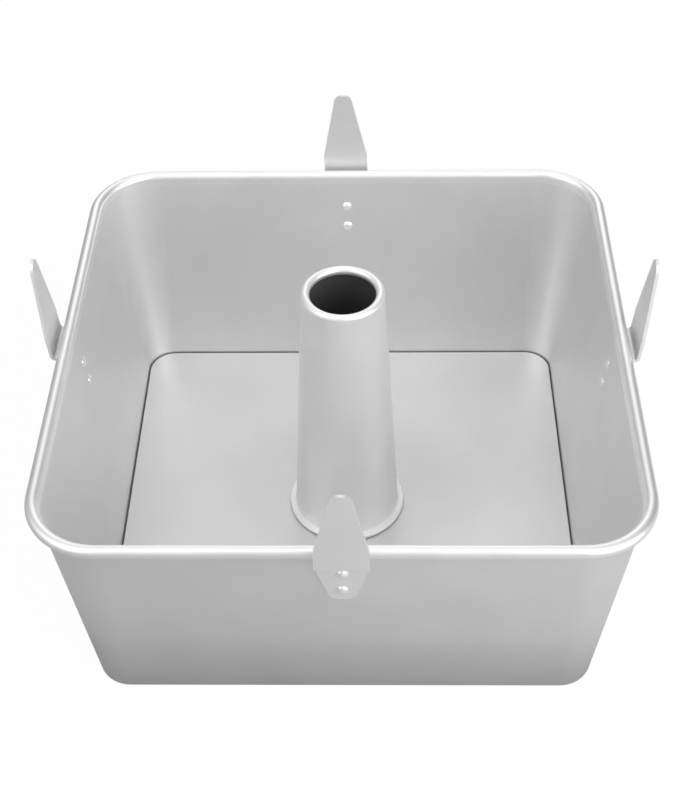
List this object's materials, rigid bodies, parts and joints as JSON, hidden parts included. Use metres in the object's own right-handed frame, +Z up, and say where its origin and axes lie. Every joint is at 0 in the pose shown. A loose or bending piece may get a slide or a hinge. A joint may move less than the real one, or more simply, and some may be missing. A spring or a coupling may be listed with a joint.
{
  "type": "angel food cake pan",
  "caption": "Square tapered cake pan with rolled rim, lift-out bottom with a central tube, and riveted cooling feet.",
  "frame": {"origin": "on the table under the middle of the pan", "axes": "+Z up along the tube, -Y towards the front foot, +X to the right"},
  "size_m": [0.2818, 0.2789, 0.1597],
  "materials": {
    "pan_sheet": "satin anodised sheet",
    "plate_sheet": "satin anodised sheet",
    "tube_sheet": "satin anodised sheet",
    "foot_strip": "satin strip with rounded edges",
    "rivet": "semi-bright set heads"
  },
  "bodies": {
    "pan": {"pan_body": "pan_sheet", "front_foot": "foot_strip", "back_foot": "foot_strip", "left_foot": "foot_strip", "right_foot": "foot_strip", "front_foot_upper_rivet": "rivet", "front_foot_lower_rivet": "rivet", "back_foot_upper_rivet": "rivet", "back_foot_lower_rivet": "rivet", "left_foot_upper_rivet": "rivet", "left_foot_lower_rivet": "rivet", "right_foot_upper_rivet": "rivet", "right_foot_lower_rivet": "rivet"},
    "insert": {"bottom_plate": "plate_sheet", "center_tube": "tube_sheet"}
  },
  "joints": [
    {"name": "insert_lift", "type": "slide", "parent": "pan", "child": "insert", "axis": [0, 0, 1], "range_m": [0, 0.13]}
  ]
}
